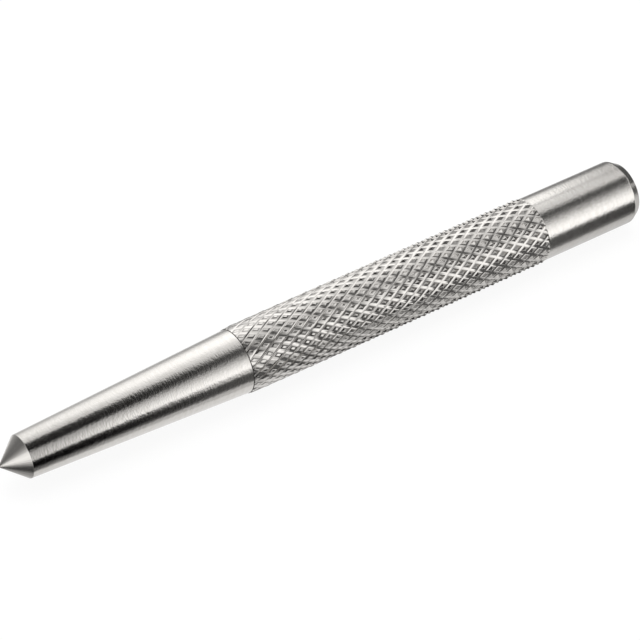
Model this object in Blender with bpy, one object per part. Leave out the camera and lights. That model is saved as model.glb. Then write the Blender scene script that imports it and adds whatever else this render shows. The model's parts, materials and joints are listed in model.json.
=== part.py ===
"""A solid center punch: ground point, plain taper, diamond-knurled grip and chamfered striking head.

Metres, +Z up. The punch lies along X, point towards -X, on the crests of its knurl. The world origin is
on the ground below the middle of its length. Distances along the bar are measured from the tip.
"""

import math

import bmesh
import bpy

# Bar that the punch is turned from
SHANK_DIAMETER = 0.010

# Ground point
POINT_ANGLE = math.radians(82)  # included angle of the cone
POINT_DIAMETER = 0.0066  # where the cone meets the taper
TIP_RADIUS = 0.00035  # the rounding that keeps a hardened tip from chipping
TIP_STEPS = 3  # facets from the very end of the tip to the cone

# Plain taper behind the point, and the small shoulder that grinding it leaves at the knurl
TAPER_LENGTH = 0.0352
SHOULDER_LENGTH = 0.00012
SHOULDER_STEP = 0.00013

# Diamond knurl: two sets of grooves of opposite hand, which the rolls press in deeper over the run-in
KNURL_LENGTH = 0.0524
RUN_IN_LENGTH = 0.020
DIAMOND_LENGTH = 0.0025  # along the bar, from corner to corner
DIAMOND_WIDTH = 0.00137  # round the bar, from corner to corner
GROOVE_DEPTH = 0.00012  # of the groove bottoms under the bar's own surface
CREST_HEIGHT = 0.00034  # of a fully formed diamond over the groove bottoms
CREST_WIDTH = 0.00024  # of the flat on top of a fully formed diamond
FIRST_CREST_HEIGHT = 0.00022  # the same two sizes where the run-in starts
FIRST_CREST_WIDTH = 0.00050

# Bare head and the chamfer round its striking face
HEAD_LENGTH = 0.0163
CHAMFER_LENGTH = 0.0013
CHAMFER_DEPTH = 0.00073

# Look of the bright ground steel
STEEL_COLOUR = (0.61, 0.60, 0.58, 1)
STEEL_ROUGHNESS = 0.28
SHARP_EDGE_ANGLE = math.radians(15)

# Counts and places that follow from the sizes above
SHANK_RADIUS = SHANK_DIAMETER / 2
STARTS = max(3, round(math.pi * SHANK_DIAMETER / DIAMOND_WIDTH))
COLUMNS = 2 * STARTS
ROWS = 2 * max(1, round(KNURL_LENGTH / DIAMOND_LENGTH))
ROW_SPACING = KNURL_LENGTH / ROWS
GROOVE_RADIUS = SHANK_RADIUS - GROOVE_DEPTH
COLUMN_SPACING = 2 * math.pi * GROOVE_RADIUS / COLUMNS
GROOVE_PITCH = 2 * ROW_SPACING * COLUMN_SPACING / math.hypot(ROW_SPACING, COLUMN_SPACING)


def clear_scene():
    for thing in list(bpy.data.objects):
        bpy.data.objects.remove(thing)


def steel():
    material = bpy.data.materials.new("ground_steel")
    material.use_nodes = True
    shader = material.node_tree.nodes["Principled BSDF"]
    shader.inputs["Base Color"].default_value = STEEL_COLOUR
    shader.inputs["Roughness"].default_value = STEEL_ROUGHNESS
    shader.inputs["Metallic"].default_value = 1.0
    return material


def point_profile():
    """(distance, radius) pairs over the rounded tip and the cone, after the very end of the tip."""
    half_angle = POINT_ANGLE / 2
    turn = math.pi / 2 - half_angle
    profile = []
    for step in range(1, TIP_STEPS + 1):
        angle = turn * step / TIP_STEPS
        profile.append((TIP_RADIUS * (1 - math.cos(angle)), TIP_RADIUS * math.sin(angle)))
    cone_start, cone_radius = profile[-1]
    point_radius = POINT_DIAMETER / 2
    profile.append((cone_start + (point_radius - cone_radius) / math.tan(half_angle), point_radius))
    return profile


def column_vertex(bm, distance, radius, column):
    """A vertex on one of the columns, which stand evenly either side of the lowest line of the bar."""
    angle = 2 * math.pi * (column + 0.5) / COLUMNS - math.pi / 2
    return bm.verts.new((distance, radius * math.cos(angle), radius * math.sin(angle)))


def ring(bm, distance, radius):
    return [column_vertex(bm, distance, radius, column) for column in range(COLUMNS)]


def band(bm, first, second):
    """Faces between two rings, the second one nearer to the head."""
    for column in range(COLUMNS):
        after = (column + 1) % COLUMNS
        bm.faces.new((first[column], first[after], second[after], second[column]))


def knurl_corners(bm, first, last, start):
    """Where the grooves cross: every second column of each row, shifted by one column from row to row."""
    corners = {}
    for row in range(ROWS + 1):
        for column in range(row % 2, COLUMNS, 2):
            if row == 0:
                corners[row, column] = first[column]
            elif row == ROWS:
                corners[row, column] = last[column]
            else:
                corners[row, column] = column_vertex(bm, start + row * ROW_SPACING, GROOVE_RADIUS, column)
    return corners


def raise_diamonds(bm, diamonds, row):
    """Narrows each diamond to its crest, which rises to the knurl's outside and leaves four flanks below."""
    formed = min(1, row * ROW_SPACING / RUN_IN_LENGTH)
    width = FIRST_CREST_WIDTH + (CREST_WIDTH - FIRST_CREST_WIDTH) * formed
    height = FIRST_CREST_HEIGHT + (CREST_HEIGHT - FIRST_CREST_HEIGHT) * formed
    flank = (GROOVE_PITCH - width) / 2
    for diamond in diamonds:
        diamond.normal_update()
    bmesh.ops.inset_individual(bm, faces=diamonds, thickness=flank, use_even_offset=True)
    for diamond in diamonds:
        for vertex in diamond.verts:
            vertex.co.yz = vertex.co.yz.normalized() * (GROOVE_RADIUS + height)


def knurl(bm, first, last, start):
    """Diamonds between the grooves, and the half diamonds that run out at the two end rings."""
    corners = knurl_corners(bm, first, last, start)
    for column in range(1, COLUMNS, 2):
        below = column - 1
        above = (column + 1) % COLUMNS
        bm.faces.new((first[below], first[column], first[above], corners[1, column]))
        bm.faces.new((corners[ROWS - 1, column], last[above], last[column], last[below]))
    for row in range(1, ROWS):
        diamonds = []
        for column in range((row + 1) % 2, COLUMNS, 2):
            below = (column - 1) % COLUMNS
            above = (column + 1) % COLUMNS
            around = ((row - 1, column), (row, above), (row + 1, column), (row, below))
            diamonds.append(bm.faces.new([corners[corner] for corner in around]))
        raise_diamonds(bm, diamonds, row)


def punch_mesh():
    bm = bmesh.new()

    # Tip, cone and taper, then the shoulder up to the bar's own surface
    tip = bm.verts.new((0, 0, 0))
    profile = point_profile()
    taper_end = profile[-1][0] + TAPER_LENGTH
    profile.append((taper_end, SHANK_RADIUS - SHOULDER_STEP))
    knurl_start = taper_end + SHOULDER_LENGTH
    profile.append((knurl_start, SHANK_RADIUS))
    rings = [ring(bm, distance, radius) for distance, radius in profile]
    for column in range(COLUMNS):
        bm.faces.new((tip, rings[0][(column + 1) % COLUMNS], rings[0][column]))
    for first, second in zip(rings, rings[1:]):
        band(bm, first, second)

    # Head, chamfer and flat striking face
    knurl_end = knurl_start + KNURL_LENGTH
    head_end = knurl_end + HEAD_LENGTH
    head_start_ring = ring(bm, knurl_end, SHANK_RADIUS)
    head_end_ring = ring(bm, head_end, SHANK_RADIUS)
    face_ring = ring(bm, head_end + CHAMFER_LENGTH, SHANK_RADIUS - CHAMFER_DEPTH)
    band(bm, head_start_ring, head_end_ring)
    band(bm, head_end_ring, face_ring)
    bm.faces.new(face_ring)

    knurl(bm, rings[-1], head_start_ring, knurl_start)

    mesh = bpy.data.meshes.new("punch_body")
    bm.to_mesh(mesh)
    bm.free()
    mesh.shade_smooth()
    mesh.set_sharp_from_angle(angle=SHARP_EDGE_ANGLE)
    return mesh


def main():
    clear_scene()
    mesh = punch_mesh()
    mesh.materials.append(steel())
    punch = bpy.data.objects.new("punch_body", mesh)
    length = max(vertex.co.x for vertex in mesh.vertices)
    lowest = min(vertex.co.z for vertex in mesh.vertices)
    punch.location = (-length / 2, 0, -lowest)
    bpy.context.scene.collection.objects.link(punch)
    print(f"punch_body: {length * 1000:.2f} mm long, {STARTS} grooves each way, {ROWS // 2} diamonds in a row")


main()
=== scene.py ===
# %% [markdown]
# # A center punch, finished for its picture
# A center punch is one bar of hardened steel. A cone is ground on one end to mark metal before drilling, a
# long taper leads up to it, the middle is knurled for the fingers, and the plain head takes the hammer's
# blow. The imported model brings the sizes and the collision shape. This script makes the surface that the eye
# sees: the rolled diamonds, the grinding marks, the soft edges, and the lit tent that shows in the steel.

import json
import math

import bmesh
import bpy
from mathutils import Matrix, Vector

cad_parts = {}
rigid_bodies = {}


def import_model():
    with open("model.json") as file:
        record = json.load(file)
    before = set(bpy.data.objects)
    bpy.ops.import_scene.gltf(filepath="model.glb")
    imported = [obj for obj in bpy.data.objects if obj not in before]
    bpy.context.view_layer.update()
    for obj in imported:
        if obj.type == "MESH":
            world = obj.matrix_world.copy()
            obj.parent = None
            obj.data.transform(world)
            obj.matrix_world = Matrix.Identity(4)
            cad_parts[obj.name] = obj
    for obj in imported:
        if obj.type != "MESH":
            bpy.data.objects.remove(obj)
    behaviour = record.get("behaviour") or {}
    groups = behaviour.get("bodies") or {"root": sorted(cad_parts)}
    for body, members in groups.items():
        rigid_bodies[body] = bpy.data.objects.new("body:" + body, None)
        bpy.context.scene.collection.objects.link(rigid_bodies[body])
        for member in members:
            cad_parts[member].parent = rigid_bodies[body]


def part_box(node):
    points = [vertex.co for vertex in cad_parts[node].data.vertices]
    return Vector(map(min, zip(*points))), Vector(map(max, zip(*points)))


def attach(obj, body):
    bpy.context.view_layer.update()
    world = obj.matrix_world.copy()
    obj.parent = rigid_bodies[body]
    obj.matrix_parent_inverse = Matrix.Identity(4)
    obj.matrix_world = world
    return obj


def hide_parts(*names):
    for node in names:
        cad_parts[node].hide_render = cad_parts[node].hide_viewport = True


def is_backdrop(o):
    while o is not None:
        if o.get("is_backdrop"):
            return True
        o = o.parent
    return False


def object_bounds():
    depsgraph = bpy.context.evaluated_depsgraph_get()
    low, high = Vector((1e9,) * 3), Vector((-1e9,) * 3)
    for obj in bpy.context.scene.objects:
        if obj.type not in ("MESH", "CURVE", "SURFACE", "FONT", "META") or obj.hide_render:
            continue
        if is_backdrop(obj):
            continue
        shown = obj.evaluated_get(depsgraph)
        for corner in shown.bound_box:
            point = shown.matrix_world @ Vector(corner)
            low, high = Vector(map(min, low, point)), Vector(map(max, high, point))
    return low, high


MM_PER_METRE = 1000.0


def mm(metres):
    return MM_PER_METRE * metres


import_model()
cad_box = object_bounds()
low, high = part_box("punch_body")
tip_x = low.x
axis_height = (low.z + high.z) / 2
print(f"punch_body: {mm(high.x - low.x):.2f} mm long, its axis {mm(axis_height):.3f} mm above the ground")

# %% [markdown]
# ## The turned shape
# On the real punch, a lathe and a grinder give every plain surface. They are all round, so one outline says
# it all: a list of (distance from the tip, radius), which is turned about the bar's axis. A lathe never
# leaves a mathematically sharp corner, so each outer corner is broken by a small part of a millimetre, and
# that thin band catches the light as the real edge does. Smooth shading blends the slopes of the faces that
# meet, so the small corner faces would bend the light on the long taper. A support ring close to each end of
# a straight run keeps the blend short.

# %% Helpers for an outline
SUPPORT = 0.0001


def straight(first, last):
    """A straight run with a ring close to either end, so that its shading isn't bent by what comes next."""
    share = SUPPORT / math.dist(first, last)
    near_first = tuple(a + (b - a) * share for a, b in zip(first, last))
    near_last = tuple(b + (a - b) * share for a, b in zip(first, last))
    return [first, near_first, near_last, last]


def broken_corner(before, corner, after, size):
    """Three outline points that round off a corner, starting and ending size away from it."""
    ends = []
    for towards in (before, after):
        run = math.dist(corner, towards)
        ends.append([c + (t - c) * size / run for c, t in zip(corner, towards)])
    middle = [(a + b + 2 * c) / 4 for a, b, c in zip(*ends, corner)]
    return [tuple(ends[0]), tuple(middle), tuple(ends[1])]


print(f"support rings {mm(SUPPORT):.1f} mm from the ends of a straight run")

# %% Outline of the point and the taper
POINT_ANGLE = math.radians(82)
POINT_RADIUS = 0.0033
TIP_RADIUS = 0.00035
TIP_STEPS = 8
TAPER_LENGTH = 0.0352
TAPER_END_RADIUS = 0.00487
EDGE_BREAK = 0.00003

half_angle = POINT_ANGLE / 2
tip_turn = math.pi / 2 - half_angle
tip_outline = []
for step in range(1, TIP_STEPS + 1):
    angle = tip_turn * step / TIP_STEPS
    tip_outline.append((TIP_RADIUS * (1 - math.cos(angle)), TIP_RADIUS * math.sin(angle)))
cone_start = tip_outline[-1]
cone_end = (cone_start[0] + (POINT_RADIUS - cone_start[1]) / math.tan(half_angle), POINT_RADIUS)
taper_end = (cone_end[0] + TAPER_LENGTH, TAPER_END_RADIUS)
cone_edge = broken_corner(cone_start, cone_end, taper_end, EDGE_BREAK)
point_outline = tip_outline[:-1] + straight(cone_start, cone_edge[0]) + cone_edge[1:2]
taper_outline = cone_edge[1:2] + straight(cone_edge[2], taper_end)
print(f"cone to {mm(cone_end[0]):.2f} mm from the tip, taper to {mm(taper_end[0]):.2f} mm")

# %% Outline of the head and its face
SHOULDER_LENGTH = 0.00012
KNURL_LENGTH = 0.0524
BAR_RADIUS = 0.005
HEAD_LENGTH = 0.0163
CHAMFER_LENGTH = 0.0013
FACE_RADIUS = 0.00427
HEAD_EDGE_BREAK = 0.00012

knurl_start = taper_end[0] + SHOULDER_LENGTH
knurl_end = knurl_start + KNURL_LENGTH
head_start = (knurl_end + SHOULDER_LENGTH, BAR_RADIUS)
head_end = (knurl_end + HEAD_LENGTH, BAR_RADIUS)
face_edge = (head_end[0] + CHAMFER_LENGTH, FACE_RADIUS)
face_centre = (face_edge[0], 0.0)
chamfer_edge = broken_corner(head_start, head_end, face_edge, HEAD_EDGE_BREAK)
rim_edge = broken_corner(head_end, face_edge, face_centre, HEAD_EDGE_BREAK)
head_outline = straight(head_start, chamfer_edge[0]) + chamfer_edge[1:2]
head_outline += straight(chamfer_edge[2], rim_edge[0]) + rim_edge[1:2]
face_outline = rim_edge[1:2] + straight(rim_edge[2], face_centre)[:2]
print(f"knurl from {mm(knurl_start):.2f} to {mm(knurl_end):.2f} mm, face at {mm(face_edge[0]):.2f} mm")

# %% [markdown]
# ## Small helpers for node trees
# Both the knurl and the finishes are node trees, so three helpers are worth having: one adds a node, one
# sets a socket to a value or joins it to another socket, and one makes a sum out of a Math node.

# %% Node helpers


def add(tree, kind, **settings):
    node = tree.nodes.new(kind)
    for name, value in settings.items():
        setattr(node, name, value)
    return node


def feed(tree, socket, value):
    if isinstance(value, bpy.types.NodeSocket):
        tree.links.new(value, socket)
    else:
        socket.default_value = value


def sums(tree, operation, *values):
    node = add(tree, "ShaderNodeMath", operation=operation)
    for socket, value in zip(node.inputs, values):
        feed(tree, socket, value)
    return node.outputs[0]


print("node helpers: add, feed and sums")

# %% [markdown]
# ## Two diamonds of the knurl
# Two hardened rolls press crossing grooves into the turning bar, and the metal between the grooves rises
# into small diamonds. Cutting real grooves with booleans would be slow and ragged, and a bump map would stay
# smooth at the outline. One diamond, repeated, is exact and cheap. It is a stack of ever smaller outlines:
# a wide and nearly flat floor, a gentle foot, and a steep pointed top that leans a little. Near the point
# the knurl is only half formed: one set of grooves is a thin cut, the other is broad and shallow, and the
# crests are low and flat. So two diamonds are made, the first and the fully formed one, with the same
# corners in the same order. Each outline also holds painted shade: a dark colour round the crest that stands
# in for the shade in the narrow cracks beside it, heaviest at the upper and left corners.

# %% Outlines of the two diamonds
GROOVE_RADIUS = 0.00488
STARTS = 23
FIRST_ROW = 0.00065
ROWS_SHOWN = 42
row_spacing = (KNURL_LENGTH - 2 * FIRST_ROW) / (ROWS_SHOWN - 1)
column_spacing = math.pi * GROOVE_RADIUS / STARTS
# Each outline: its width across the one and the other set of grooves, and its lean across either, all beside
# the whole diamond's width, then its height over the groove radius in metres
FIRST_DIAMOND = (
    (1.00, 1.000, 0.0, 0.0, 0.000030),
    (1.00, 0.950, 0.0, 0.0, 0.000031),
    (1.00, 0.740, 0.0, -0.11, 0.000162),
    (0.60, 0.725, 0.0, -0.11, 0.000164),
    (0.52, 0.640, 0.0, -0.10, 0.000169),
    (0.44, 0.560, 0.0, -0.09, 0.000175),
    (0.37, 0.480, 0.0, -0.08, 0.000180),
    (0.31, 0.420, 0.0, -0.08, 0.000181),
)
FULL_DIAMOND = (
    (1.00, 1.00, 0.0, 0.0, 0.0),
    (1.00, 0.95, 0.0, 0.0, 0.0000005),
    (1.00, 0.90, 0.0, 0.0, 0.000001),
    (0.85, 0.85, 0.0, 0.0, 0.000003),
    (0.70, 0.70, 0.0, 0.0, 0.000024),
    (0.54, 0.54, 0.02, -0.02, 0.000052),
    (0.28, 0.28, 0.05, -0.05, 0.000190),
    (0.04, 0.04, 0.08, -0.08, 0.000334),
)
# How much painted shade each outline holds, and the share of its left, lower, right and upper corner, from
# the front
FIRST_PAINTED_SHADE = (0.0, 0.0, 0.0, 0.0, 0.8, 0.8, 0.4, 0.1)
FULL_PAINTED_SHADE = (0.0, 0.0, 0.0, 0.0, 0.10, 0.45, 0.50, 0.35)
PAINTED_SHADE_SHARES = (0.85, 0.25, 0.5, 1.0)
print(f"{STARTS} grooves each way, diamonds {mm(2 * row_spacing):.2f} x {mm(2 * column_spacing):.2f} mm")

# %% Build the diamonds
CORNERS = ((-1, -1), (-1, 1), (1, 1), (1, -1))


def diamond_outlines(bm, levels, painted_shade_held):
    """Four vertices for each level, every one with its share of the painted shade."""
    painted_shade = bm.verts.layers.float.new("painted_shade")
    outlines = []
    for (rising, falling, rising_lean, falling_lean, height), held in zip(levels, painted_shade_held):
        outline = []
        for (way, turn), share in zip(CORNERS, PAINTED_SHADE_SHARES):
            a = rising_lean + way * rising
            b = falling_lean + turn * falling
            corner = bm.verts.new((row_spacing * (a + b) / 2, column_spacing * (a - b) / 2, height))
            corner[painted_shade] = held * share
            outline.append(corner)
        outlines.append(outline)
    return outlines


def diamond_object(name, levels, painted_shade_held):
    bm = bmesh.new()
    outlines = diamond_outlines(bm, levels, painted_shade_held)
    for level in range(1, len(levels)):
        outer, inner = outlines[level - 1], outlines[level]
        # Where the first width stays the same, the faces at those two sides would have no area
        same_width = levels[level][0] == levels[level - 1][0]
        for side in range(len(CORNERS)):
            after = (side + 1) % len(CORNERS)
            if side % 2 or not same_width:
                bm.faces.new((outer[side], outer[after], inner[after], inner[side]))
    bm.faces.new(outlines[-1])
    mesh = bpy.data.meshes.new(name)
    bm.to_mesh(mesh)
    bm.free()
    diamond = bpy.data.objects.new(name, mesh)
    bpy.context.scene.collection.objects.link(diamond)
    print(f"{name}: {len(mesh.polygons)} faces")
    return diamond


first_diamond = diamond_object("first_diamond", FIRST_DIAMOND, FIRST_PAINTED_SHADE)
full_diamond = diamond_object("full_diamond", FULL_DIAMOND, FULL_PAINTED_SHADE)

# %% [markdown]
# ## Finish of the steel
# Nothing on this punch is painted. Its looks come from how each surface was worked, so the finishes share
# two node groups. The first unrolls the bar. It gives every point its direction round the axis, which never
# jumps, so no seam shows, and its place along the bar less its radius. That value changes along the bar and
# over the flat face, but hardly on the cone, so lines go round the bar and run to the tip on the cone. The
# second group turns such a place into marks: short scratches from the grinding wheel, and the fine grain
# that blurs the edge of every reflection.

# %% Node group that unrolls the bar


def unrolled_bar():
    group = bpy.data.node_groups.new("unrolled_bar", "ShaderNodeTree")
    for name in ("Place", "Point"):
        group.interface.new_socket(name, in_out="OUTPUT", socket_type="NodeSocketVector")
    ends = add(group, "NodeGroupOutput")
    place = add(group, "ShaderNodeTexCoord")
    centred = add(group, "ShaderNodeVectorMath", operation="SUBTRACT")
    centred.inputs[1].default_value = (0, 0, axis_height)
    group.links.new(place.outputs["Object"], centred.inputs[0])
    parts = add(group, "ShaderNodeSeparateXYZ")
    group.links.new(centred.outputs[0], parts.inputs[0])
    along, across, up = parts.outputs
    squares = [sums(group, "MULTIPLY", side, side) for side in (across, up)]
    radius = sums(group, "SQRT", sums(group, "ADD", *squares))
    join = add(group, "ShaderNodeCombineXYZ")
    feed(group, join.inputs[0], sums(group, "SUBTRACT", along, radius))
    feed(group, join.inputs[1], sums(group, "DIVIDE", across, radius))
    feed(group, join.inputs[2], sums(group, "DIVIDE", up, radius))
    group.links.new(join.outputs[0], ends.inputs["Place"])
    group.links.new(centred.outputs[0], ends.inputs["Point"])
    return group


bar_group = unrolled_bar()
print(f"{bar_group.name}: {len(bar_group.nodes)} nodes")

# %% Node group for the marks of grinding
LINE_DETAIL = 1.0
LINE_ROUGHNESS = 0.6
GRAIN_DETAIL = 1.0
TONE_DETAIL = 3.0
TONE_SCALE = 0.5
MARK_INPUTS = {"Lines": "NodeSocketVector", "Grain": "NodeSocketVector", "Grain share": "NodeSocketFloat"}


def noise(tree, place, detail):
    node = add(tree, "ShaderNodeTexNoise")
    node.inputs["Scale"].default_value = 1.0
    node.inputs["Detail"].default_value = detail
    tree.links.new(place, node.inputs["Vector"])
    return node


def grinding_marks():
    """Height: of lines and grain together. Tone: broader patches along the lines."""
    group = bpy.data.node_groups.new("grinding_marks", "ShaderNodeTree")
    for name, kind in MARK_INPUTS.items():
        group.interface.new_socket(name, in_out="INPUT", socket_type=kind)
    for name in ("Height", "Tone"):
        group.interface.new_socket(name, in_out="OUTPUT", socket_type="NodeSocketFloat")
    given = add(group, "NodeGroupInput").outputs
    ends = add(group, "NodeGroupOutput")
    lines = noise(group, given["Lines"], LINE_DETAIL)
    lines.inputs["Roughness"].default_value = LINE_ROUGHNESS
    grain = noise(group, given["Grain"], GRAIN_DETAIL)
    both = add(group, "ShaderNodeMix")
    group.links.new(given["Grain share"], both.inputs[0])
    group.links.new(lines.outputs["Fac"], both.inputs[2])
    group.links.new(grain.outputs["Fac"], both.inputs[3])
    group.links.new(both.outputs[0], ends.inputs["Height"])
    wide = add(group, "ShaderNodeVectorMath", operation="SCALE")
    wide.inputs["Scale"].default_value = TONE_SCALE
    group.links.new(given["Lines"], wide.inputs[0])
    tone = noise(group, wide.outputs[0], TONE_DETAIL)
    group.links.new(tone.outputs["Fac"], ends.inputs["Tone"])
    return group


marks_group = grinding_marks()
print(f"{marks_group.name}: {len(marks_group.nodes)} nodes")

# %% [markdown]
# ## Six finishes from one recipe
# The wheel that ground the taper left rings of short scratches, and the head was ground in the same way. The
# cone's scratches run to the tip, the striking face has turned marks, the knurl has the smooth skin that
# rolling leaves, and the small shoulder is torn and dull, its near-black tones partly painted shade for the
# shadow in its step. One function builds them all: only the spacing of
# the lines, their depth, the roughness and the tones differ. All of them darken where the mesh holds painted
# shade.

# %% Recipe for a finish
STEEL_LIGHT = (0.665, 0.645, 0.62, 1)
STEEL_DARK = (0.625, 0.605, 0.575, 1)
# Painted shade: a near-black colour mixed into the steel where the mesh holds it, for the shade in the knurl's
# cracks
PAINTED_SHADE_TONE = (0.10, 0.095, 0.088, 1)
PAINTED_SHADE_COVER = 0.95
# The part of the noise's range that the tones and the roughness are spread over
TONE_RANGE = (0.35, 0.65)
ROUGHNESS_RANGE = (0.3, 0.7)


def marks_on_bar(tree, lines, grain_size, grain_share):
    bar = add(tree, "ShaderNodeGroup", node_tree=bar_group)
    stretch = add(tree, "ShaderNodeVectorMath", operation="MULTIPLY")
    stretch.inputs[1].default_value = (lines[0], lines[1], lines[1])
    tree.links.new(bar.outputs["Place"], stretch.inputs[0])
    fine = add(tree, "ShaderNodeVectorMath", operation="SCALE")
    fine.inputs["Scale"].default_value = 1 / grain_size
    tree.links.new(bar.outputs["Point"], fine.inputs[0])
    marks = add(tree, "ShaderNodeGroup", node_tree=marks_group)
    marks.inputs["Grain share"].default_value = grain_share
    tree.links.new(stretch.outputs[0], marks.inputs["Lines"])
    tree.links.new(fine.outputs[0], marks.inputs["Grain"])
    return marks.outputs


def colour_with_painted_shade(tree, tone, tones):
    ramp = add(tree, "ShaderNodeValToRGB")
    for element, position, colour in zip(ramp.color_ramp.elements, TONE_RANGE, tones):
        element.position = position
        element.color = colour
    tree.links.new(tone, ramp.inputs[0])
    # Painted shade: the colour is mixed towards the dark tone where the mesh holds it
    painted_shade = add(tree, "ShaderNodeAttribute", attribute_name="painted_shade")
    shaded_colour = add(tree, "ShaderNodeMix", data_type="RGBA")
    feed(tree, shaded_colour.inputs[0], sums(tree, "MULTIPLY", painted_shade.outputs["Fac"], PAINTED_SHADE_COVER))
    feed(tree, shaded_colour.inputs[6], ramp.outputs[0])
    feed(tree, shaded_colour.inputs[7], PAINTED_SHADE_TONE)
    return shaded_colour.outputs[2]


def steel(name, lines, grain_size, grain_share, depth, roughness, tones=(STEEL_DARK, STEEL_LIGHT)):
    """lines: per metre along the bar, and waves round it. grain_size and depth of the marks: in metres."""
    material = bpy.data.materials.new(name)
    material.use_nodes = True
    tree = material.node_tree
    shader = tree.nodes["Principled BSDF"]
    shader.inputs["Metallic"].default_value = 1.0
    marks = marks_on_bar(tree, lines, grain_size, grain_share)
    bump = add(tree, "ShaderNodeBump")
    bump.inputs["Strength"].default_value = 1.0
    bump.inputs["Distance"].default_value = depth
    tree.links.new(marks["Height"], bump.inputs["Height"])
    tree.links.new(bump.outputs["Normal"], shader.inputs["Normal"])
    spread = add(tree, "ShaderNodeMapRange")
    for socket, value in zip(spread.inputs[1:5], (*ROUGHNESS_RANGE, *roughness)):
        socket.default_value = value
    tree.links.new(marks["Tone"], spread.inputs[0])
    tree.links.new(spread.outputs[0], shader.inputs["Roughness"])
    tree.links.new(colour_with_painted_shade(tree, marks["Tone"], tones), shader.inputs["Base Color"])
    return material


print(f"dirt covers up to {PAINTED_SHADE_COVER:.0%} of the steel's own colour")

# %% Make the finishes
ROLLED_TONES = ((0.59, 0.57, 0.545, 1), (0.64, 0.62, 0.595, 1))
# The shoulder's tones: near-black, partly its torn and dull finish and partly painted shade for the shadow in
# its step
TORN_AND_SHADED_TONES = ((0.06, 0.055, 0.05, 1), (0.20, 0.19, 0.18, 1))

finishes = {
    "point": steel("ground_point", lines=(350, 16), grain_size=0.00024, grain_share=0.20,
                   depth=0.000019, roughness=(0.14, 0.19)),
    "taper": steel("ground_taper", lines=(4200, 6), grain_size=0.00026, grain_share=0.35,
                   depth=0.000032, roughness=(0.14, 0.18)),
    "knurl": steel("rolled_knurl", lines=(3000, 8), grain_size=0.00020, grain_share=0.60,
                   depth=0.000008, roughness=(0.14, 0.19), tones=ROLLED_TONES),
    "head": steel("ground_head", lines=(4200, 7), grain_size=0.00024, grain_share=0.50,
                  depth=0.000034, roughness=(0.14, 0.18)),
    "face": steel("turned_face", lines=(5200, 1.5), grain_size=0.00030, grain_share=0.12,
                  depth=0.000016, roughness=(0.18, 0.26)),
    # The shoulder: torn and dull, and partly painted shade for the shadow in its step
    "shoulder": steel("torn_and_shaded_shoulder", lines=(3000, 30), grain_size=0.00020, grain_share=0.50,
                      depth=0.000030, roughness=(0.40, 0.60), tones=TORN_AND_SHADED_TONES),
}
print("finishes:", ", ".join(material.name for material in finishes.values()))

# %% [markdown]
# ## The whole knurl
# Geometry Nodes repeat the diamond. Laid flat, the knurl is a plain lattice: rows along the bar, every
# second row moved by half a diamond. The tree puts one point on each place of the lattice, sets both
# diamonds on it, slides from the first to the full one over the run-in and carries the painted shade along,
# and rolls the flat sheet up into a tube that rises out of the taper in its first millimetre. Mixing two
# whole sheets
# corner by corner keeps every groove closed, because neighbours share their outer corners in both. A row
# more than needed at each end is cut off later.

# %% Parts of the knurl's tree: the flat sheets


def lattice(tree, given):
    """One point for each diamond on the flat sheet."""
    index = add(tree, "GeometryNodeInputIndex").outputs[0]
    row = sums(tree, "FLOOR", sums(tree, "DIVIDE", index, given["Starts"]))
    column = sums(tree, "MODULO", index, given["Starts"])
    half_step = sums(tree, "MODULO", row, 2.0)
    half_girth = sums(tree, "MULTIPLY", given["Groove radius"], math.pi)
    step = sums(tree, "DIVIDE", half_girth, given["Starts"])
    steps = sums(tree, "MULTIPLY_ADD", column, 2.0, half_step)
    place = add(tree, "ShaderNodeCombineXYZ")
    feed(tree, place.inputs[0], sums(tree, "MULTIPLY_ADD", row, given["Row spacing"], given["First row"]))
    feed(tree, place.inputs[1], sums(tree, "MULTIPLY", step, steps))
    points = add(tree, "GeometryNodePoints")
    feed(tree, points.inputs["Count"], sums(tree, "MULTIPLY", given["Rows"], given["Starts"]))
    feed(tree, points.inputs["Position"], place.outputs[0])
    return points.outputs[0]


def sheet_of(tree, diamond, points):
    """A diamond on every point, as real faces."""
    shape = add(tree, "GeometryNodeObjectInfo")
    feed(tree, shape.inputs["Object"], diamond)
    spread = add(tree, "GeometryNodeInstanceOnPoints")
    feed(tree, spread.inputs["Points"], points)
    feed(tree, spread.inputs["Instance"], shape.outputs["Geometry"])
    real = add(tree, "GeometryNodeRealizeInstances")
    feed(tree, real.inputs[0], spread.outputs[0])
    return real.outputs[0]


def same_corner(tree, kind, sheet, value):
    """The value that the same corner has on another sheet."""
    sample = add(tree, "GeometryNodeSampleIndex", data_type=kind)
    feed(tree, sample.inputs["Geometry"], sheet)
    feed(tree, sample.inputs["Value"], value)
    feed(tree, sample.inputs["Index"], add(tree, "GeometryNodeInputIndex").outputs[0])
    return sample.outputs[0]


print(f"sheet: {ROWS_SHOWN + 2} rows of {STARTS} diamonds")

# %% Parts of the knurl's tree: forming, painted shade and rolling up
FORMING_POWER = 2.0


def unformed_share(tree, given, reached):
    """1 where the run-in starts, falling fast and then slowly to 0 where the diamonds are fully formed."""
    run = add(tree, "ShaderNodeMapRange")
    feed(tree, run.inputs[0], sums(tree, "SUBTRACT", reached, given["Run-in start"]))
    feed(tree, run.inputs[2], given["Run-in length"])
    return sums(tree, "POWER", sums(tree, "SUBTRACT", 1.0, run.outputs[0]), FORMING_POWER)


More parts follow.
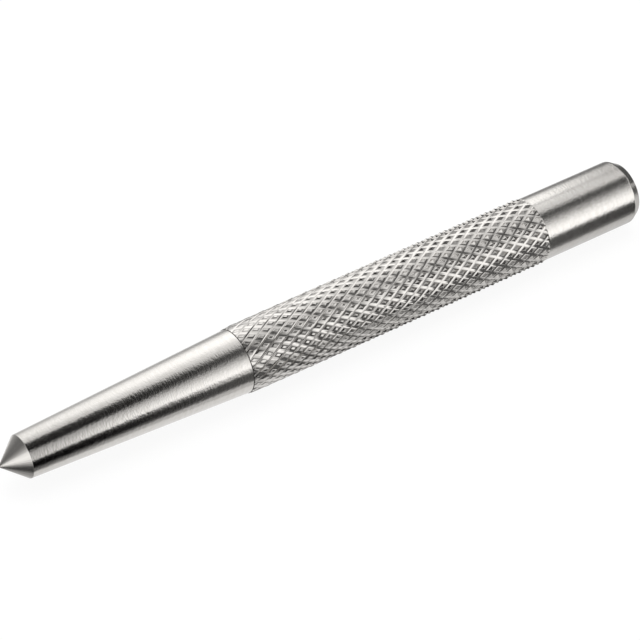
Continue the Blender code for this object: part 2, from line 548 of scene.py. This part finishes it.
def sheet_with_painted_shade(tree, first_sheet, full_sheet, unformed):
    """The full sheet, its painted shade sliding from the first diamond's amount to its own."""
    # The painted shade that each corner holds, read from the full sheet
    held = add(tree, "GeometryNodeInputNamedAttribute", data_type="FLOAT")
    held.inputs["Name"].default_value = "painted_shade"
    own = held.outputs[0]
    change = sums(tree, "SUBTRACT", same_corner(tree, "FLOAT", first_sheet, own), own)
    painted_shade = add(tree, "GeometryNodeStoreNamedAttribute", data_type="FLOAT", domain="POINT")
    painted_shade.inputs["Name"].default_value = "painted_shade"
    feed(tree, painted_shade.inputs["Geometry"], full_sheet)
    feed(tree, painted_shade.inputs["Value"], sums(tree, "MULTIPLY_ADD", change, unformed, own))
    return painted_shade.outputs[0]


def rolled_up(tree, given, place, reached):
    """A place on the flat sheet, rolled round the bar's axis and rising out of the taper at the start."""
    flat = add(tree, "ShaderNodeSeparateXYZ")
    feed(tree, flat.inputs[0], place)
    full_radius = sums(tree, "ADD", given["Groove radius"], flat.outputs[2])
    rise = add(tree, "ShaderNodeMapRange", interpolation_type="SMOOTHSTEP")
    feed(tree, rise.inputs[0], sums(tree, "SUBTRACT", reached, given["Run-in start"]))
    feed(tree, rise.inputs[2], given["Rise length"])
    feed(tree, rise.inputs[3], given["Start share"])
    above = sums(tree, "SUBTRACT", full_radius, given["Start radius"])
    radius = sums(tree, "MULTIPLY_ADD", above, rise.outputs[0], given["Start radius"])
    arc = sums(tree, "DIVIDE", flat.outputs[1], given["Groove radius"])
    angle = sums(tree, "SUBTRACT", given["Turn"], arc)
    rolled = add(tree, "ShaderNodeCombineXYZ")
    feed(tree, rolled.inputs[0], flat.outputs[0])
    feed(tree, rolled.inputs[1], sums(tree, "MULTIPLY", radius, sums(tree, "COSINE", angle)))
    up = sums(tree, "MULTIPLY", radius, sums(tree, "SINE", angle))
    feed(tree, rolled.inputs[2], sums(tree, "ADD", up, given["Axis height"]))
    return rolled.outputs[0]


print(f"diamonds form with power {FORMING_POWER:.0f} of the run-in that is left")

# %% Tree of the knurl
WELD_DISTANCE = 0.000002
KNURL_INPUTS = {
    "NodeSocketObject": ("First diamond", "Full diamond"),
    "NodeSocketMaterial": ("Finish",),
    "NodeSocketInt": ("Rows", "Starts"),
    "NodeSocketFloat": ("First row", "Row spacing", "Groove radius", "Turn", "Axis height", "Run-in start",
                        "Run-in length", "Start radius", "Start share", "Rise length"),
}


def knurl_tree():
    tree = bpy.data.node_groups.new("rolled_knurl", "GeometryNodeTree")
    tree.interface.new_socket("Geometry", in_out="OUTPUT", socket_type="NodeSocketGeometry")
    for kind, names in KNURL_INPUTS.items():
        for name in names:
            tree.interface.new_socket(name, in_out="INPUT", socket_type=kind)
    given = add(tree, "NodeGroupInput").outputs
    ends = add(tree, "NodeGroupOutput")
    points = lattice(tree, given)
    first_sheet = sheet_of(tree, given["First diamond"], points)
    full_sheet = sheet_of(tree, given["Full diamond"], points)
    position = add(tree, "GeometryNodeInputPosition").outputs[0]
    reached = add(tree, "ShaderNodeSeparateXYZ")
    feed(tree, reached.inputs[0], position)
    unformed = unformed_share(tree, given, reached.outputs[0])
    slide = add(tree, "ShaderNodeMix", data_type="VECTOR")
    feed(tree, slide.inputs["Factor"], unformed)
    feed(tree, slide.inputs[4], position)
    feed(tree, slide.inputs[5], same_corner(tree, "FLOAT_VECTOR", first_sheet, position))
    tube = add(tree, "GeometryNodeSetPosition")
    feed(tree, tube.inputs["Geometry"], sheet_with_painted_shade(tree, first_sheet, full_sheet, unformed))
    feed(tree, tube.inputs["Position"], rolled_up(tree, given, slide.outputs[1], reached.outputs[0]))
    weld = add(tree, "GeometryNodeMergeByDistance")
    weld.inputs["Distance"].default_value = WELD_DISTANCE
    feed(tree, weld.inputs["Geometry"], tube.outputs[0])
    finish = add(tree, "GeometryNodeSetMaterial")
    feed(tree, finish.inputs["Geometry"], weld.outputs[0])
    feed(tree, finish.inputs["Material"], given["Finish"])
    feed(tree, ends.inputs[0], finish.outputs[0])
    return tree


tree = knurl_tree()
print(f"{tree.name}: {len(tree.nodes)} nodes")

# %% Roll the knurl
RUN_IN_LENGTH = 0.045
KNURL_TURN = math.radians(152.5)
START_SHARE = 0.3
RISE_LENGTH = 0.0012

knurl = bpy.data.objects.new("knurl", bpy.data.meshes.new("knurl"))
bpy.context.scene.collection.objects.link(knurl)
rolling = knurl.modifiers.new("rolling", "NODES")
rolling.node_group = tree
settings = {
    "First diamond": first_diamond,
    "Full diamond": full_diamond,
    "Finish": finishes["knurl"],
    "Rows": ROWS_SHOWN + 2,
    "Starts": STARTS,
    "First row": tip_x + knurl_start + FIRST_ROW - row_spacing,
    "Row spacing": row_spacing,
    "Groove radius": GROOVE_RADIUS,
    "Turn": KNURL_TURN,
    "Axis height": axis_height,
    "Run-in start": tip_x + knurl_start,
    "Run-in length": RUN_IN_LENGTH,
    "Start radius": TAPER_END_RADIUS,
    "Start share": START_SHARE,
    "Rise length": RISE_LENGTH,
}
for socket in tree.interface.items_tree:
    if socket.in_out == "INPUT":
        rolling[socket.identifier] = settings[socket.name]
evaluated = knurl.evaluated_get(bpy.context.evaluated_depsgraph_get())
knurl_mesh = bpy.data.meshes.new_from_object(evaluated)
knurl.modifiers.remove(rolling)
for helper in (knurl, first_diamond, full_diamond):
    bpy.data.objects.remove(helper)
print(f"knurl: {len(knurl_mesh.polygons)} faces")

# %% [markdown]
# ## One closed bar
# The punch is one piece, so its mesh is one closed skin too. The knurl tube is cut square at both ends, the
# turned rings are made beside it, and the open edges are bridged. At the point's end that bridge is the
# small dull shoulder that grinding the taper leaves, its near-black colour partly painted shade for the
# shadow in that step. At the head's end the diamonds run out into the plain bar.

# %% Helpers for turning and joining
SEGMENTS = 4 * STARTS
MATERIAL_ORDER = ("point", "taper", "shoulder", "knurl", "head", "face")
SAME_PLACE = 0.000001


def ring(bm, outline_point):
    distance, radius = outline_point
    made = []
    for segment in range(SEGMENTS):
        angle = 2 * math.pi * segment / SEGMENTS
        y = radius * math.cos(angle)
        z = axis_height + radius * math.sin(angle)
        made.append(bm.verts.new((tip_x + distance, y, z)))
    return made


def turned(bm, outline, material):
    """Rings along an outline, joined by bands of faces. Gives back the first and the last ring."""
    rings = [ring(bm, outline_point) for outline_point in outline]
    for first, second in zip(rings, rings[1:]):
        for segment in range(SEGMENTS):
            after = (segment + 1) % SEGMENTS
            face = bm.faces.new((first[segment], first[after], second[after], second[segment]))
            face.material_index = MATERIAL_ORDER.index(material)
    return rings[0], rings[-1]


def cap(bm, edge_ring, distance, material):
    """Closes a ring with a fan to one vertex on the axis."""
    pole = bm.verts.new((tip_x + distance, 0, axis_height))
    for segment in range(SEGMENTS):
        face = bm.faces.new((edge_ring[segment], edge_ring[(segment + 1) % SEGMENTS], pole))
        face.material_index = MATERIAL_ORDER.index(material)


def open_edges(bm, distance):
    """The open edges that lie at one distance from the tip."""
    x = tip_x + distance
    return [e for e in bm.edges if e.is_boundary and all(abs(v.co.x - x) < SAME_PLACE for v in e.verts)]


def bridge(bm, first, second, material):
    made = bmesh.ops.bridge_loops(bm, edges=first + second)
    for face in made["faces"]:
        face.material_index = MATERIAL_ORDER.index(material)


print(f"turned rings have {SEGMENTS} segments")

# %% Join the turned ends to the knurl
CUT_TOLERANCE = 1e-7
DOUBLES_DISTANCE = 1e-8

bm = bmesh.new()
bm.from_mesh(knurl_mesh)
for face in bm.faces:
    face.material_index = MATERIAL_ORDER.index("knurl")
for distance, way in ((knurl_start, -1), (knurl_end, 1)):
    everything = bm.verts[:] + bm.edges[:] + bm.faces[:]
    place = (tip_x + distance, 0, 0)
    bmesh.ops.bisect_plane(bm, geom=everything, dist=CUT_TOLERANCE, plane_co=place, plane_no=(way, 0, 0),
                           clear_outer=True)

tip_ring, _ = turned(bm, point_outline, "point")
cap(bm, tip_ring, 0.0, "point")
turned(bm, taper_outline, "taper")
turned(bm, head_outline, "head")
_, face_ring = turned(bm, face_outline, "face")
cap(bm, face_ring, face_centre[0], "face")
bmesh.ops.remove_doubles(bm, verts=bm.verts[:], dist=DOUBLES_DISTANCE)
bridge(bm, open_edges(bm, taper_end[0]), open_edges(bm, knurl_start), "shoulder")
bridge(bm, open_edges(bm, knurl_end), open_edges(bm, head_start[0]), "knurl")
bmesh.ops.recalc_face_normals(bm, faces=bm.faces[:])
edges_left = sum(e.is_boundary for e in bm.edges)
volume = MM_PER_METRE ** 3 * bm.calc_volume(signed=True)
print(f"open edges left: {edges_left}, volume {volume:.0f} mm3")

# %% Make the piece
SMOOTH_ANGLE = math.radians(22)

body_mesh = bpy.data.meshes.new("finished_punch")
bm.to_mesh(body_mesh)
bm.free()
for part in MATERIAL_ORDER:
    body_mesh.materials.append(finishes[part])
body_mesh.shade_smooth()
body_mesh.set_sharp_from_angle(angle=SMOOTH_ANGLE)
punch = bpy.data.objects.new("finished_punch", body_mesh)
bpy.context.scene.collection.objects.link(punch)
bpy.data.meshes.remove(knurl_mesh)
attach(punch, "root")
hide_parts("punch_body")
triangles = sum(len(face.vertices) - 2 for face in body_mesh.polygons)
print(f"finished_punch: {triangles} triangles")

# %% [markdown]
# ## Camera
# The picture was taken from the front left and well above, with a long lens from about half a metre, so the
# bar runs up to the right and its two ends are nearly the same size. Placing the camera from the tip, by how
# far the tip lies right of, below and in front of the lens, keeps the framing in three plain numbers. The
# turn, the tilt, the lens and these three were fitted to the bar's outline in the picture.

# %% Place the camera
CAMERA_TURN = math.radians(34.13)
CAMERA_TILT = math.radians(40.96)
LENS = 183.97
SENSOR_WIDTH = 36
NEAREST_SEEN = 0.01
# Of the point where the cone's sides would meet: right of, below and in front of the lens, in metres
TIP_FROM_LENS = (-0.0444, 0.0203, 0.4511)
CONE_OVERSHOOT = 0.000183

right = (math.cos(CAMERA_TURN), -math.sin(CAMERA_TURN), 0.0)
level = (math.sin(CAMERA_TURN), math.cos(CAMERA_TURN))
ahead = (math.cos(CAMERA_TILT) * level[0], math.cos(CAMERA_TILT) * level[1], -math.sin(CAMERA_TILT))
below = (-math.sin(CAMERA_TILT) * level[0], -math.sin(CAMERA_TILT) * level[1], -math.cos(CAMERA_TILT))
apex = (tip_x - CONE_OVERSHOOT, 0.0, axis_height)
lens_place = []
for side, apex_place in enumerate(apex):
    away = sum(length * way[side] for length, way in zip(TIP_FROM_LENS, (right, below, ahead)))
    lens_place.append(apex_place - away)

camera_data = bpy.data.cameras.new("camera")
camera_data.lens = LENS
camera_data.sensor_width = SENSOR_WIDTH
camera_data.clip_start = NEAREST_SEEN
camera = bpy.data.objects.new("camera", camera_data)
camera.location = lens_place
camera.rotation_euler = (math.pi / 2 - CAMERA_TILT, 0, -CAMERA_TURN)
bpy.context.scene.collection.objects.link(camera)
bpy.context.scene.camera = camera
print("camera at", [round(mm(value), 1) for value in camera.location], "mm")

# %% [markdown]
# ## The tent in the steel
# Bright steel has no look of its own: it shows the room. The stripes on this one look like a white tent with
# a wide soft light above and behind, another in front, and dark gaps between them. Each light and each gap
# could be a card of its own, but soft edges would need many of them. Here the tent is one tube round the bar
# that glows by a table of soft cards, and only reflections see it. A card is told by where it lies round the
# bar, in degrees from the front (0) over the top (90) to the back (180), and along it, in millimetres from
# the middle. The tent is close, so what the steel shows changes along the bar, as it does on a table.
#
# The cards' names and order were given one by one, but most of their numbers were not: a fitting program
# found them from how bright the stripes are in the picture, and they were then rounded to about five degrees
# and five millimetres. Seven cards were added besides the fitted ones: the bench, the gap, the strip light,
# the front and the front light's edge by the head, the bench rim by the point, and the seam of the top light.

# %% Node group for one soft card of the tent


def soft_card():
    group = bpy.data.node_groups.new("soft_card", "ShaderNodeTree")
    for name in ("Round", "Along", "Behind", "Light", "Starts", "Full from", "Full to", "Ends", "Left starts",
                 "Left full", "Right full", "Right ends"):
        group.interface.new_socket(name, in_out="INPUT", socket_type="NodeSocketFloat")
    group.interface.new_socket("Light", in_out="OUTPUT", socket_type="NodeSocketFloat")
    given = add(group, "NodeGroupInput").outputs
    ends = add(group, "NodeGroupOutput")
    masks = []
    for place, edges in (("Round", ("Starts", "Full from", "Full to", "Ends")),
                         ("Along", ("Left starts", "Left full", "Right full", "Right ends"))):
        rise = add(group, "ShaderNodeMapRange", interpolation_type="SMOOTHSTEP")
        fall = add(group, "ShaderNodeMapRange", interpolation_type="SMOOTHSTEP")
        for node, first, last in ((rise, edges[0], edges[1]), (fall, edges[2], edges[3])):
            feed(group, node.inputs[0], given[place])
            feed(group, node.inputs[1], given[first])
            feed(group, node.inputs[2], given[last])
        masks.append(sums(group, "MULTIPLY", rise.outputs[0], sums(group, "SUBTRACT", 1.0, fall.outputs[0])))
    cover = sums(group, "MULTIPLY", *masks)
    change = sums(group, "SUBTRACT", given["Light"], given["Behind"])
    feed(group, ends.inputs[0], sums(group, "MULTIPLY_ADD", change, cover, given["Behind"]))
    return group


card_group = soft_card()
print(f"{card_group.name}: {len(card_group.nodes)} nodes")

# %% Cards of the tent
TENT_LIGHT = 0.93
# Edges past the tent's own ends, for a card that runs right through on that side
NO_LEFT_END = (-3001, -3000)
NO_RIGHT_END = (3000, 3001)
# Each card: its light, its four edges round the bar in degrees and its four edges along it in millimetres.
# A later card covers the earlier ones.
CARDS = {
    "back wall": (0.25, (155, 180, 190, 215), (-65, 70, *NO_RIGHT_END)),
    "floor by the head": (0.65, (-140, -135, -60, -55), (50, 130, *NO_RIGHT_END)),
    "floor by the point": (0.38, (-140, -135, -80, -60), (*NO_LEFT_END, -90, 0)),
    "bench edge": (0.13, (-65, -50, -40, -35), (*NO_LEFT_END, 120, 160)),
    "bench edge in the middle": (0.65, (-60, -55, -40, -35), (-30, 10, 30, 105)),
    "bench": (0.12, (-45, -40, -10, -5), (-75, -40, 130, 155)),
    "bench by the head": (0.05, (-45, -40, -15, -5), (95, 110, 130, 155)),
    "bench by the point": (0.002, (-35, -30, 5, 15), (-110, -95, -10, 25)),
    "front light": (1.60, (0, 10, 10, 45), (-80, -50, 150, 290)),
    "front light's edge by the head": (1.60, (-5, 0, 5, 10), (40, 75, 125, 150)),
    "front shade": (0.42, (0, 5, 35, 60), (-70, -45, -45, 15)),
    "bench rim by the point": (0.002, (-10, -5, 0, 8), (-110, -95, -20, -5)),
    "front by the head": (0.40, (-20, 5, 45, 70), (170, 210, *NO_RIGHT_END)),
    "gap": (0.11, (30, 70, 75, 95), (-80, -50, 235, 280)),
    "gap by the head": (0.07, (50, 70, 80, 95), (105, 120, 235, 280)),
    "strip light by the head": (1.30, (20, 30, 60, 95), (130, 145, 160, 195)),
    "gap by the point": (0.003, (45, 60, 90, 100), (-80, -60, -15, 25)),
    "top light": (1.70, (95, 135, 140, 190), (-105, -60, 95, 100)),
    "seam of the top light": (0.85, (115, 120, 125, 130), (25, 70, *NO_RIGHT_END)),
    "left light": (1.35, (-20, 10, 40, 80), (*NO_LEFT_END, -130, -95)),
    "left wall": (0.20, (45, 120, 190, 205), (*NO_LEFT_END, -130, 35)),
    "left bench": (0.06, (-85, -65, -50, 5), (*NO_LEFT_END, -105, -75)),
    "right back": (0.11, (90, 130, 190, 210), (100, 135, *NO_RIGHT_END)),
    "right wall": (0.08, (-120, -85, 200, 220), (270, 480, *NO_RIGHT_END)),
}
print(f"tent: {len(CARDS)} soft cards")

# %% Light of the tent
FULL_TURN = 360.0
TURN_BELOW_FRONT = 135.0  # how far below the front the degrees start to count


def tent_material():
    material = bpy.data.materials.new("tent_light")
    material.use_nodes = True
    tree = material.node_tree
    tree.nodes.remove(tree.nodes["Principled BSDF"])
    place = add(tree, "ShaderNodeTexCoord")
    parts = add(tree, "ShaderNodeSeparateXYZ")
    tree.links.new(place.outputs["Object"], parts.inputs[0])
    up = sums(tree, "SUBTRACT", parts.outputs[2], axis_height)
    front = sums(tree, "MULTIPLY", parts.outputs[1], -1.0)
    turn = sums(tree, "ADD", sums(tree, "DEGREES", sums(tree, "ARCTAN2", up, front)), TURN_BELOW_FRONT)
    turn = sums(tree, "SUBTRACT", sums(tree, "FLOORED_MODULO", turn, FULL_TURN), TURN_BELOW_FRONT)
    along = sums(tree, "MULTIPLY", parts.outputs[0], MM_PER_METRE)
    light = TENT_LIGHT
    for name, (strength, round_edges, along_edges) in CARDS.items():
        card = add(tree, "ShaderNodeGroup", node_tree=card_group, label=name)
        for socket, value in zip(card.inputs, (turn, along, light, strength, *round_edges, *along_edges)):
            feed(tree, socket, value)
        light = card.outputs[0]
    glow = add(tree, "ShaderNodeEmission")
    feed(tree, glow.inputs["Strength"], light)
    tree.links.new(glow.outputs[0], tree.nodes["Material Output"].inputs["Surface"])
    material.cycles.emission_sampling = "NONE"
    return material


tent_light = tent_material()
print(f"{tent_light.name}: {len(tent_light.node_tree.nodes)} nodes")

# %% Put up the tent
TENT_RADIUS = 0.1
TENT_REACH = 2.0
TENT_SIDES = 96


def tent_mesh():
    corners = []
    for x in (-TENT_REACH, TENT_REACH):
        for side in range(TENT_SIDES):
            angle = 2 * math.pi * side / TENT_SIDES
            corners.append((x, TENT_RADIUS * math.cos(angle), axis_height + TENT_RADIUS * math.sin(angle)))
    faces = []
    for side in range(TENT_SIDES):
        after = (side + 1) % TENT_SIDES
        faces.append((side, after, TENT_SIDES + after, TENT_SIDES + side))
    mesh = bpy.data.meshes.new("tent")
    mesh.from_pydata(corners, [], faces)
    return mesh


tent = bpy.data.objects.new("tent", tent_mesh())
tent.data.materials.append(tent_light)
tent.visible_camera = False
tent.visible_diffuse = False
tent.visible_shadow = False
bpy.context.scene.collection.objects.link(tent)
tent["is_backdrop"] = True
print(f"tent: {mm(TENT_RADIUS):.0f} mm round the bar's axis, {2 * TENT_REACH:.0f} m long")

# %% [markdown]
# ## Room, floor and lamp
# The punch lies on a white sweep without a visible edge. A floor that is white only by strong light would
# burn out the steel too. So the room and the floor give part of their white themselves, only to the rays
# that make up the picture: those that reach the camera straight, in a mirror or through glass. The rays that
# light things see a dimmer room, and a wide lamp overhead lays the faint shadow under the bar.

# %% Light the room
ROOM_LIGHT = 0.6
WHITE = (1, 1, 1, 1)


def seen_or_mirrored(tree):
    """1 for rays that make up the picture, also by mirror or glass, and 0 for those that only light."""
    rays = add(tree, "ShaderNodeLightPath").outputs
    mirrored = sums(tree, "MAXIMUM", rays["Is Glossy Ray"], rays["Is Transmission Ray"])
    return sums(tree, "MAXIMUM", rays["Is Camera Ray"], mirrored)


world = bpy.data.worlds.new("room")
bpy.context.scene.world = world
world.use_nodes = True
tree = world.node_tree
brightness = sums(tree, "MULTIPLY_ADD", seen_or_mirrored(tree), 1.0 - ROOM_LIGHT, ROOM_LIGHT)
feed(tree, tree.nodes["Background"].inputs["Strength"], brightness)
tree.nodes["Background"].inputs["Color"].default_value = WHITE
print(f"room light {ROOM_LIGHT}, white to the camera")

# %% Lay the floor
FLOOR_SIZE = 1.6
FLOOR_COLOUR = (0.13, 0.13, 0.13, 1)
FLOOR_GLOW = 0.90

floor_material = bpy.data.materials.new("white_sweep")
floor_material.use_nodes = True
tree = floor_material.node_tree
shader = tree.nodes["Principled BSDF"]
shader.inputs["Base Color"].default_value = FLOOR_COLOUR
shader.inputs["Roughness"].default_value = 1.0
shader.inputs["Specular IOR Level"].default_value = 0.0
shader.inputs["Emission Color"].default_value = WHITE
feed(tree, shader.inputs["Emission Strength"], sums(tree, "MULTIPLY", seen_or_mirrored(tree), FLOOR_GLOW))

half = FLOOR_SIZE / 2
floor_corners = [(-half, -half, 0), (half, -half, 0), (half, half, 0), (-half, half, 0)]
floor_mesh = bpy.data.meshes.new("floor")
floor_mesh.from_pydata(floor_corners, [], [(0, 1, 2, 3)])
floor_mesh.materials.append(floor_material)
floor = bpy.data.objects.new("floor", floor_mesh)
floor.visible_glossy = False
bpy.context.scene.collection.objects.link(floor)
floor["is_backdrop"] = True
print(f"floor {FLOOR_SIZE} m wide")

# %% Hang the lamp
LAMP_SIZE = 0.5
LAMP_POWER = 1.6
LAMP_PLACE = (0.05, 0.1, 0.6)
LAMP_TILT = math.radians(-9)

lamp_data = bpy.data.lights.new("overhead_lamp", "AREA")
lamp_data.size = LAMP_SIZE
lamp_data.energy = LAMP_POWER
lamp = bpy.data.objects.new("overhead_lamp", lamp_data)
lamp.location = LAMP_PLACE
lamp.rotation_euler = (LAMP_TILT, 0, 0)
lamp.visible_glossy = False
bpy.context.scene.collection.objects.link(lamp)

bpy.context.scene.view_settings.view_transform = "Standard"
print(f"lamp {LAMP_SIZE} m wide, {LAMP_POWER} W")

# %% [markdown]
# ## Sizes, and the end
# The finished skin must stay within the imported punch's own box, so both boxes are written down side by side.

# %% Write the sizes and finish
boxes = {"cad": [list(corner) for corner in cad_box], "visual": [list(corner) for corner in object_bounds()]}
for name, (lowest, highest) in boxes.items():
    print(name, "box:", [round(mm(b - a), 3) for a, b in zip(lowest, highest)], "mm")
